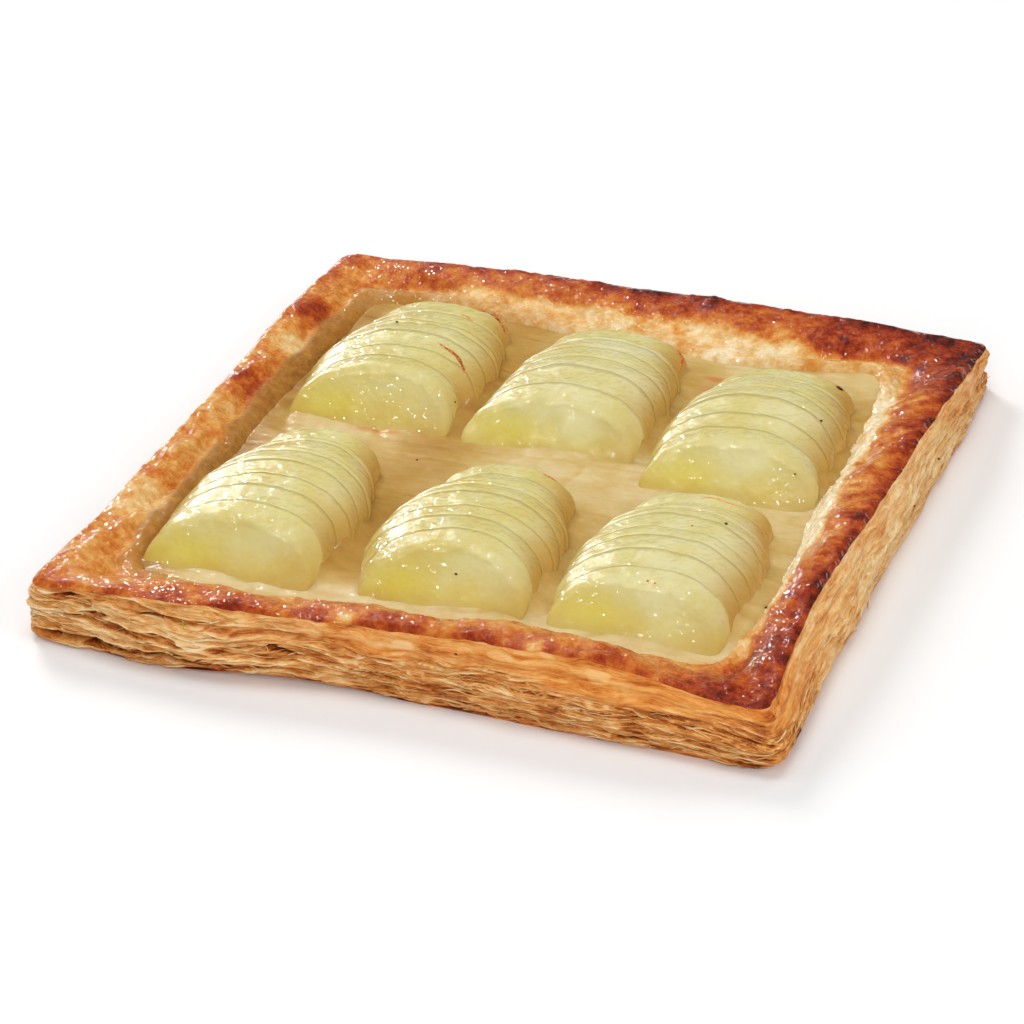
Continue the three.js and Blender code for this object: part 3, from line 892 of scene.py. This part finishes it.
def make_slice(sl, following, fan, seed, material):
    angle = np.linspace(0, np.pi, ARC_STEPS + 1)
    wobble = 1 + 0.012 * noise(stack(9 * np.cos(angle), 9 * np.sin(angle), seed), 3, 51)
    across = np.concatenate([[-0.46], -0.5 * np.cos(angle) * wobble, [0.46, 0.15, -0.15]])
    up = np.concatenate([[0], np.sin(angle) ** 0.85 * wobble, [0, 0, 0]])
    feet = np.concatenate([[1.0], np.zeros(len(angle)), [1.0, 1.0, 1.0]])
    rows = []
    uneven = UNEVEN.get(sl.node, 0)
    for back, middle, width, height, lean, out in slice_sections(sl, following):
        x = width * across * out
        z = height * up * out + 0.12 * height * (1 - out) - SLICE_SINK * feet * out
        dish = 0.5 * (1 - out**2) * (back <= 0)
        bend = 0.35 * noise(stack(x / 17, z / 9, (sl.start + back) / 40 + seed), 1, 52)
        bend = bend + uneven * noise(stack(x, z, seed), 5, 55) * smooth(z / 3) * smooth(1 - back / 6)
        row = stack(middle + x, sl.start + back + lean * z + dish + bend, CREAM_LEVEL + z)
        lump = 0.16 * noise(row, 2.6, 53) + 0.2 * noise(row, 6, 54)
        row = row + (lump * (1 - feet) * np.stack([2 * across, 0 * up, up]) * (out == 1)).T
        rows.append(row)
    rows = np.stack(rows)
    count = rows.shape[1]
    face_count = len(rows) * count
    faces = [face[::-1] for face in grid_faces(len(rows), count, True)]
    faces += fan_faces(0, count, face_count)
    faces += fan_faces(face_count - count, count, face_count + 1, flip=True)
    points = np.concatenate([rows.reshape(-1, 3), [rows[0].mean(0), rows[-1].mean(0)]])
    side = (points[:, 0] - sl.x) / (sl.width / 2)
    above = points[:, 2] - CREAM_LEVEL
    # Paler higher up and deeper yellow low down and towards the left: partly the fruit's own colour, partly
    # painted light shining through the fruit low on the left.
    pale = 0.44 + 0.28 * smooth(above / 9) - 0.12 * smooth(0.3 - side) + PALE[fan]
    # Painted warm shade: on the right flank, away from the key light, and low down by the cream; weaker on
    # the front slice.
    amber_and_shade = smooth((side - 0.3) / 0.6) * smooth(1.3 - above / 12) + 0.6 * smooth(1 - above / 3)
    amber_and_shade = amber_and_shade * (0.35 if sl.number == 1 else 1)
    # Painted shade in the joint, where the next slice covers this one.
    joint_shade = np.zeros(len(rows))
    joint_shade[-2:] = JOINT_SHADE
    amber_and_shade = amber_and_shade + np.append(np.repeat(joint_shade, count), [0, 0])
    # Painted light: the yellow-green glow of light shining through the lower left of the front slice's face.
    green = smooth(1 - np.hypot((side + 0.5) / 0.6, (above - 3.5) / 6)) * (sl.number == 1)
    thick = np.zeros(len(points))
    for node, pixel, size in THICK_GLAZE:
        if node == sl.node:
            away = np.linalg.norm(points - seen_at(points, pixel), axis=1) / size
            thick = np.maximum(thick, smooth(1.4 - away))
    looks = {"pale": pale, "amber_and_shade": np.clip(amber_and_shade, 0, 1), "green": 0.62 * green, "thick": thick}
    return make_piece("glazed_" + sl.node, points, faces, material, "pear", [sl.node], **looks)


# ---- The cream ----

# How deep a golden brown the cream is that has risen along the right side of each pear: partly browned juice,
# partly painted shade on the side away from the key light.
BROWNED_AND_SHADED = {
    "front_left": 0.95, "front_middle": 0.8, "front_right": 0.5, "back_left": 1.0, "back_middle": 0.8,
    "back_right": 1.0,
}
# Toasted patches of cream: the pixel of the middle in the picture, half sizes in mm along x and y, strength.
TOASTED = [
    ((372, 428), 9, 1.6, 0.7), ((720, 379), 5, 2.2, 0.7), ((712, 389), 7, 5, 0.4),
    ((330, 592), 6, 1.5, 0.3),
]


def cream_point(a, b):
    """The recess for a and b from -1 to 1: its point, its distance from the rim, how far that runs on."""
    far = np.maximum(np.maximum(abs(a), abs(b)), 1e-9)
    x, y = a / far, b / far
    step = np.select(
        [(y <= -1 + 1e-9), (x >= 1 - 1e-9), (y >= 1 - 1e-9)],
        [(x + 1) / 2, 1 + (y + 1) / 2, 2 + (1 - x) / 2],
        3 + (1 - y) / 2,
    )
    edge = Edge(np.clip(step, 0, 3.9999))
    half = TOP_SIDE / 2 - edge.rim_width
    over = along_edge(OVER_CREAM, edge.step)
    return a * (half + UNDER_RIM), b * (half + UNDER_RIM), half * (1 - far) - UNDER_RIM * far, over


def footprint(slices):
    """The outline of a fan at the level of the cream, and a function that gives its middle, half width and
    height at any y."""
    last = slices[-1]
    ends = [(share * last.reach, end_size(share)) for share in (0, 0.4, 0.7, 1)]
    y = np.array([sl.start for sl in slices] + [last.start + last.depth + behind for behind, _ in ends])
    middle = np.array([sl.x for sl in slices] + [last.x] * 4)
    half = np.array([sl.width for sl in slices] + [last.width * size for _, size in ends]) / 2
    height = np.array([sl.height for sl in slices] + [last.height * size for _, size in ends])
    right, left = stack(middle + half, y, 0), stack(middle - half, y, 0)
    outline = np.concatenate([right, left[::-1], right[:1]])
    return outline, lambda at: (
        np.interp(at, y, middle),
        np.interp(at, y, half) * (at > y[0]) * (at < y[-1]),
        np.interp(at, y, height),
    )


def make_cream(fans, material):
    side = np.linspace(-1, 1, CREAM_CELLS + 1)
    b, a = np.meshgrid(side, side, indexing="ij")
    x, y, from_rim, over = cream_point(a, b)
    level = np.sin(x / 17 + 0.8) * np.cos(y / 13) + 0.5 * np.sin(x / 7 + y / 11)
    z = CREAM_LEVEL + CREAM_SWELL * level
    flat = stack(x, y, 0 * x).reshape(-1, 3)
    rise, amber_and_shade = np.zeros(x.shape), np.zeros(x.shape)
    for fan, slices in fans.items():
        outline, across = footprint(slices)
        middle, half, height = across(y)
        away = near_line(flat, outline).reshape(x.shape) * np.where(abs(x - middle) < half, -1, 1)
        right = smooth((x - middle - 12) / 16) * smooth((y - outline[0, 1] - 1) / 11)
        outside = np.clip(away + 2, 0, None)
        hidden = smooth(away / 3 + 2.4)
        swell = mix(0.5, 0.34 * height, right)
        rise = np.maximum(rise, swell * np.exp(-outside / mix(2, 5.5, right)) * hidden)
        # Golden brown round each pear, deepest on its right side: partly browned juice, partly painted shade.
        browned = mix(0.3, BROWNED_AND_SHADED[fan], right)
        amber_and_shade = np.maximum(amber_and_shade, browned * np.exp(-outside / mix(4, 12, right)))
    on_left = smooth(-x / 30 - 2)
    z = z + 0.9 * np.exp(-np.clip(from_rim, 0, None) / 2) + rise
    # Golden brown along the left rim: painted shade, like that on the rim's inner slope beside it.
    amber_and_shade = np.maximum(amber_and_shade, on_left * np.exp(-np.clip(from_rim - 9, 0, None) / 8))
    # A faint golden brown all over, deeper along the right side of the front left pear and less at the back
    # right: partly browned juice, partly painted shade.
    veil = 0.12 + 0.75 * np.exp(-(((x + 33) / 17) ** 2)) * smooth((y + 82) / 9)
    amber_and_shade = np.maximum(amber_and_shade, veil) * (1 - 0.9 * smooth((y - 66) / 12) * smooth((x - 74) / 10))
    z = z - 1.5 * smooth((0.6 * over - from_rim) / 1.5)
    place = stack(x, y, 0 * x)
    crease = 1 - np.abs(noise(place, (34, 8, 1), 61))
    z = z - 0.4 * smooth((crease - 0.86) / 0.14) + 0.3 * cloud(place, (12, 6, 1), 62)
    points = stack(x, y, z).reshape(-1, 3)
    toast = np.zeros(len(points))
    for pixel, half_x, half_y, strength in TOASTED:
        away = (points - seen_at(points, pixel)) / (half_x, half_y, 5)
        toast = np.maximum(toast, strength * smooth(1.3 - np.linalg.norm(away, axis=1)))
    looks = {"amber_and_shade": amber_and_shade, "crease": smooth((crease - 0.8) / 0.2), "toast": toast}
    faces = grid_faces(*x.shape, False)
    return make_piece("baked_cream", points, faces, material, "cream", ["pastry_cream"], **looks)


# ---- Small things: scorched edges, specks, thin flakes ----


def surface_of(pieces):
    """The surface of some pieces, to lay small things on."""
    points, triangles, first = [], [], 0
    for piece in pieces:
        mesh = piece.data
        mesh.calc_loop_triangles()
        place = np.empty(3 * len(mesh.vertices), np.float32)
        corners = np.empty(3 * len(mesh.loop_triangles), np.int32)
        mesh.vertices.foreach_get("co", place)
        mesh.loop_triangles.foreach_get("vertices", corners)
        points.append(place.reshape(-1, 3) * 1000)
        triangles.append(corners.reshape(-1, 3) + first)
        first += len(mesh.vertices)
    return BVHTree.FromPolygons(np.concatenate(points).tolist(), np.concatenate(triangles).tolist())


def shown_at(surface, pixel):
    """The point of the surface that a pixel of the picture shows, and the way out of the surface there."""
    ray = pixel_ray(pixel)
    point, out, *_ = surface.ray_cast(Vector(camera_place), Vector(ray))
    return np.array(point), np.array(out) * (-1 if out.dot(Vector(ray)) > 0 else 1)


def shown_near(surface, pixel):
    """The same or, where the pixel just misses the surface, the surface's nearest point."""
    ray = pixel_ray(pixel)
    if surface.ray_cast(Vector(camera_place), Vector(ray))[0]:
        return shown_at(surface, pixel)
    passing = camera_place + ray * (CREAM_LEVEL + 8 - camera_place[2]) / ray[2]
    point, out, *_ = surface.find_nearest(Vector(passing))
    return np.array(point), np.array(out) * (-1 if out.z < 0 else 1)


def strand(centre, across, out, half_width, half_thickness, seed, sides=8):
    """The rows of points of a thin strip with tapered ends and an uneven width."""
    u = np.linspace(-1, 1, len(centre))[:, None]
    taper = np.sqrt(np.clip(1 - np.abs(u) ** 2.5, 0.02, 1)) * (1 + 0.3 * noise(centre, 2.2, seed)[:, None])
    rows = []
    for turn in np.linspace(0, 2 * np.pi, sides, endpoint=False):
        wide, thick = half_width * taper * np.cos(turn), half_thickness * taper * np.sin(turn)
        rows.append(centre + across * wide + out * thick)
    return np.stack(rows, 1)


class Bodies:
    """Small closed bodies that make one piece, with values of its attributes for each."""

    def __init__(self, *names):
        self.points, self.faces, self.count = [], [], 0
        self.values = {name: [] for name in names}

    def add(self, rows, *values, flip=False):
        """A body from rows of points round it, with flat ends, which flip turns to wind the other way."""
        count, turns = rows.shape[:2]
        first, last = range(turns), range((count - 1) * turns, count * turns)
        ends = [first, last[::-1]] if flip else [first[::-1], last]
        faces = grid_faces(count, turns, True) + ends
        self.faces += [[self.count + corner for corner in face] for face in faces]
        self.points.append(rows.reshape(-1, 3))
        self.count += count * turns
        for known, value in zip(self.values.values(), values):
            known.append(np.broadcast_to(value, (count, turns)).ravel())

    def make(self, name, material, slot):
        looks = {key: np.concatenate(values) for key, values in self.values.items()}
        return make_piece(name, np.concatenate(self.points), self.faces, material, slot, [], **looks)


# Scorched edges of slices: the line that the mark follows in the picture, its half width in mm, how dark.
SCORCHES = [
    ([(463, 303), (478, 306), (497, 313), (511, 322), (520, 334)], 0.45, 0.6),
    ([(437, 342), (448, 350), (458, 358), (463, 366), (466, 376)], 0.55, 0.55),
    ([(455, 311), (464, 315), (474, 321)], 0.35, 0.2),
    ([(520, 467), (535, 470), (551, 477), (562, 484), (570, 492)], 0.4, 0.3),
    ([(755, 511), (767, 512), (780, 518), (790, 525)], 0.5, 0.5),
    ([(682, 341), (689, 347), (693, 360), (694, 374)], 0.5, 0.5),
    ([(571, 455), (576, 458)], 0.6, 0.4),
    ([(836, 386), (845, 390), (855, 396)], 0.8, 0.9),
    ([(343, 603), (352, 607)], 0.4, 0.2),
    ([(700, 497), (722, 500), (748, 508)], 0.25, 0.0),
]
# Specks: the pixel that they lie at, radius in mm, how dark.
SPECKS = [
    ((397, 322), 0.35, 1), ((456, 574), 0.4, 1), ((417, 460), 0.35, 0.9), ((726, 524), 0.4, 1),
    ((766, 608), 0.4, 1), ((821, 421), 0.35, 0.9), ((795, 474), 0.3, 0.9), ((938, 459), 0.45, 1),
    ((914, 506), 0.4, 0.9), ((456, 654), 0.35, 0.9), ((455, 402), 0.3, 0.8), ((692, 526), 0.3, 0.3),
    ((648, 581), 0.35, 0.2), ((655, 583), 0.25, 0.3),
]


def make_scorches(surface, material):
    bodies = Bodies("dark")
    for number, (line, half_width, darkness) in enumerate(SCORCHES):
        line = np.array(line, float)
        at = np.linspace(0, len(line) - 1, 9 * len(line))
        wave = 1.2 * noise(stack(at * 1.7, number, 0), 1, 81)
        pixels = stack(*(np.interp(at, range(len(line)), line[:, k]) for k in (0, 1)))
        shown = [shown_near(surface, (x, y + dy)) for (x, y), dy in zip(pixels, wave)]
        centre, out = (smoothed(np.array(each)) for each in zip(*longest_run(shown, LONGEST_GAP)))
        out = unit(out)
        across = unit(np.cross(np.gradient(centre, axis=0), out))
        rows = strand(centre, across, out, half_width, SCORCH_THICKNESS, 82 + number)
        fade = 1 - np.abs(np.linspace(-1, 1, len(rows))) ** 3
        bodies.add(rows, (darkness * fade)[:, None])
    return bodies.make("scorched_edges", material, "pear")


def longest_run(shown, gap):
    """The most points in a row, of some points and ways out, that no gap of so many mm parts."""
    places = np.array([point for point, _ in shown])
    apart = np.nonzero(np.linalg.norm(np.diff(places, axis=0), axis=1) > gap)[0] + 1
    starts, ends = [0, *apart], [*apart, len(shown)]
    longest = np.argmax(np.subtract(ends, starts))
    return shown[starts[longest] : ends[longest]]


def smoothed(rows):
    """Rows of numbers with their jumps from one to the next evened out."""
    for _ in range(3):
        inner = (rows[:-2] + 2 * rows[1:-1] + rows[2:]) / 4
        rows = np.concatenate([rows[:1], inner, rows[-1:]])
    return rows


def make_specks(surface, material):
    bodies = Bodies("dark")
    polar = np.linspace(0.2, np.pi - 0.2, SPECK_ROWS)[:, None]
    turn = np.linspace(0, 2 * np.pi, SPECK_SIDES, endpoint=False)
    ball = stack(np.sin(polar) * np.cos(turn), np.sin(polar) * np.sin(turn), np.cos(polar))
    for number, (pixel, radius, darkness) in enumerate(SPECKS):
        centre, out = shown_at(surface, pixel)
        lump = ball * radius * (1 + 0.35 * noise(ball + 3 * number, 0.8, 83))[..., None]
        bodies.add(lump * (1.3, 1, 0.8) + centre + 0.2 * radius * out, darkness, flip=True)
    return bodies.make("baked_specks", material, "crust")


def make_flakes(material):
    """Thin leaves that have come loose from the sides and stand out a little, all round."""
    draw = np.random.default_rng(5)
    bodies = Bodies("leaf", "layer", "warm")
    u = np.linspace(-1, 1, FLAKE_ROWS)[:, None]
    for number in range(FLAKES):
        middle = draw.uniform(0, 4)
        leafy, fine = (along_edge(each, np.array([middle]))[0] for each in (LEAFY, FINE))
        height = draw.uniform(0.06, 0.9) if leafy > 0.5 else draw.uniform(0.05, 0.6)
        length = draw.uniform(3, 9 + 12 * leafy)
        if draw.uniform() > max(leafy, fine):
            continue
        step = middle + np.linspace(-0.5, 0.5, FLAKE_ROWS) * length / TOP_SIDE
        waves = noise(stack(step * TOP_SIDE, 9 * number, 0), (3.5, 9, 1), 86)
        share = height + 0.035 * waves + 0.04 * draw.uniform(-1, 1) * u[:, 0]
        place, _, _, warm = (each[0] for each in wall_surface(step, np.clip(share, 0.03, 0.95)))
        along = np.gradient(place, axis=0)
        out = unit(stack(along[:, 1], -along[:, 0], 0))
        curl = draw.uniform(0, 0.9) * np.abs(u) ** 3 * (np.sign(u) == draw.choice([-1, 1]))
        centre = smoothed(place + out * (draw.uniform(0.05, 0.35) + curl))
        tilt = draw.uniform(-0.9, 0.9)
        across = out * np.sin(tilt) + np.array([0, 0, np.cos(tilt)])
        normal = out * np.cos(tilt) - np.array([0, 0, np.sin(tilt)])
        half_width = draw.uniform(0.18, 0.3 + 0.3 * leafy)
        rows = strand(centre, across, normal, half_width, 0.1, 84 + number, FLAKE_SIDES)
        rows = np.clip(rows, CASE_LOW, CASE_HIGH)
        bodies.add(rows, draw.uniform(0.4, 0.85), rows[..., 2], (warm * 0.6)[:, None])
    return bodies.make("thin_flakes", material, "crust")


def make_herb(surface, material):
    """The tiny green sliver on the front side."""
    line = [shown_at(surface, (183 + 0.12 * k, 619 + 1.3 * k))[0] for k in range(9)]
    out = np.array([0.0, -1.0, 0.2])
    centre, across = smoothed(np.array(line)) + 0.15 * out, np.array([1.0, 0, 0])
    bodies = Bodies()
    bodies.add(strand(centre, across, out, 0.3, SCORCH_THICKNESS, 85))
    return bodies.make("green_sliver", material, "crust")


# ---- The setting ----

# The way towards each light, its distance and size in m, its power, and whether it makes shades or gloss.
LIGHTS = {
    "key": ((-0.6, 0.62, 0.62), 1.7, 0.6, 13, "shade"),
    "glint": ((-0.6, 0.62, 0.62), 1.7, 0.2, 8, "gloss"),
    "low_glint": ((-0.7, 0.68, 0.25), 1.7, 0.2, 7, "gloss"),
    "top_glint": ((-0.35, 0.1, 0.95), 1.6, 0.17, 5, "gloss"),
    "top": ((0, 0, 1), 1.6, 1.2, 7, "shade"),
    "front": ((0.25, -0.8, 0.55), 2, 1.4, 17, "shade"),
    "right": ((0.85, -0.2, 0.5), 2, 1.2, 10.5, "shade"),
    "left": ((-0.85, -0.25, 0.6), 2, 1.2, 5, "shade"),
    "back": ((0.35, 0.8, 0.7), 2, 1.2, 4, "shade"),
}
FLOOR_REACH = 4  # in m


def add_light(name, toward, distance, size, power, kind):
    data = bpy.data.lights.new(name, "AREA")
    data.shape = "DISK"
    data.size = size
    data.energy = power
    light = add_object(name, data)
    direction = Vector(toward).normalized()
    light.location = direction * distance
    light.rotation_euler = direction.to_track_quat("Z", "Y").to_euler()
    light.visible_glossy = kind == "gloss"
    light.visible_diffuse = kind == "shade"


def add_setting():
    """A pale floor, a studio that is brighter overhead, and the lights."""
    world = bpy.data.worlds.new("studio")
    world.use_nodes = True
    tree = world.node_tree
    direction = add_node(tree, "TexCoord", {}).outputs["Generated"]
    up = add_node(tree, "SeparateXYZ", {0: direction}).outputs["Z"]
    span = {"Value": up, "From Min": 0.45, "From Max": 1, "To Min": 0.06, "To Max": 0.2}
    brightness = add_node(tree, "MapRange", span).outputs["Result"]
    connect(tree, tree.nodes["Background"], {"Strength": brightness, "Color": (1, 1, 1, 1)})
    bpy.context.scene.world = world
    bpy.context.scene.view_settings.view_transform = "Standard"

    mesh = bpy.data.meshes.new("floor")
    corners = [(x * FLOOR_REACH, y * FLOOR_REACH, 0) for x, y in ((-1, -1), (1, -1), (1, 1), (-1, 1))]
    mesh.from_pydata(corners, [], [(0, 1, 2, 3)])
    floor = add_object("floor", mesh)
    s = Shader("pale_floor")
    shade = s.span(s.noise(400, 2), 0.2, 0.8)
    mesh.materials.append(s.finish(Base_Color=s.blend(shade, (248,) * 3, (251,) * 3), Roughness=0.8))
    floor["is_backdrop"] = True

    for name, settings in LIGHTS.items():
        add_light(name, *settings)


# ---- The tart ----

add_camera()
add_setting()

side = wall_material()
walls = list(make_walls(side))
make_underside(side)
rim = make_rim(rim_material())
fans = read_fans()
pear = pear_material()
pieces = []
for fan_number, (fan, slices) in enumerate(fans.items()):
    for number, sl in enumerate(slices):
        behind = slices[number + 1] if number + 1 < len(slices) else None
        following = behind and (behind.x, behind.width, behind.height)
        pieces.append(make_slice(sl, following, fan, 3 * fan_number + 0.35 * number, pear))
cream = make_cream(fans, cream_material())

surface = surface_of([*pieces, cream, rim, *walls])
scorched = scorch_material()
make_scorches(surface_of(pieces), scorched)
make_specks(surface, scorched)
make_flakes(side)
make_herb(surface, herb_material())

boxes = {"cad": CAD_BOX, "visual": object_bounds()}
{key: [[float(v) for v in corner] for corner in box] for key, box in boxes.items()}
